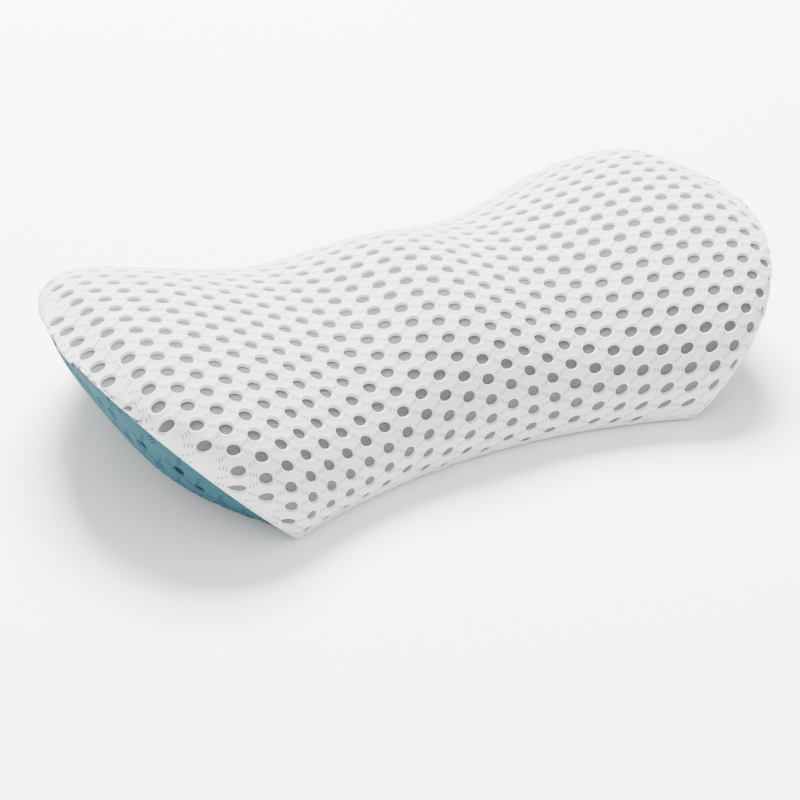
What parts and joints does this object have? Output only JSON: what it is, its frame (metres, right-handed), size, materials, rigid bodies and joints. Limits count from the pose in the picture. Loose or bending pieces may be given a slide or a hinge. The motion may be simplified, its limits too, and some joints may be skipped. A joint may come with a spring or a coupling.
{
  "type": "lumbar support cushion",
  "caption": "Bone-shaped lumbar cushion with raised rounded wings, a middle hump, flat back, sloping half-moon ends and a zipped mesh cover over foam.",
  "frame": {"origin": "middle of the flat back panel's outer face, on the surface that the cushion rests on", "axes": "+X along the length towards the right end panel, +Y across towards the zipped side, +Z from the flat back towards the hump"},
  "size_m": [0.3994, 0.1884, 0.081],
  "materials": {
    "white_mesh": "matt knitted spacer mesh with oval holes",
    "teal_mesh": "matt knitted spacer mesh with oval holes",
    "liner_knit": "fine plain knit",
    "foam": "open-cell slow-rebound foam",
    "teal_thread": "polyester thread",
    "white_thread": "polyester thread",
    "zip_tape": "woven tape",
    "zip_coil": "nylon coil",
    "zip_metal": "plated zinc"
  },
  "bodies": {
    "cushion": {"front_panel": "white_mesh", "back_panel": "teal_mesh", "end_panel_left": "teal_mesh", "end_panel_right": "teal_mesh", "liner_front": "liner_knit", "liner_back": "liner_knit", "foam_core": "foam", "rim_seam_left": "teal_thread", "rim_seam_right": "teal_thread", "fold_seam_left": "white_thread", "fold_seam_right": "white_thread", "side_seam_near": "teal_thread", "side_seam_zip": "teal_thread", "zip_tape_lower": "zip_tape", "zip_tape_upper": "zip_tape", "zip_coil_lower": "zip_coil", "zip_coil_upper": "zip_coil", "zip_stop_closed": "zip_metal", "zip_stop_open": "zip_metal"},
    "slider": {"zip_slider": "zip_metal"},
    "pull_tab": {"zip_pull_tab": "zip_metal"}
  },
  "joints": [
    {"name": "zip_travel", "type": "hinge", "parent": "cushion", "child": "slider", "pos_m": [0, 0.45845, 0.006], "axis": [0, 0, 1], "range_deg": [0, 21.01]},
    {"name": "pull_tab_hinge", "type": "hinge", "parent": "slider", "child": "pull_tab", "pos_m": [-0.08162, 0.08433, 0.00496], "axis": [0.0822, 0.3769, 0.9226], "range_deg": [0, 170]}
  ]
}
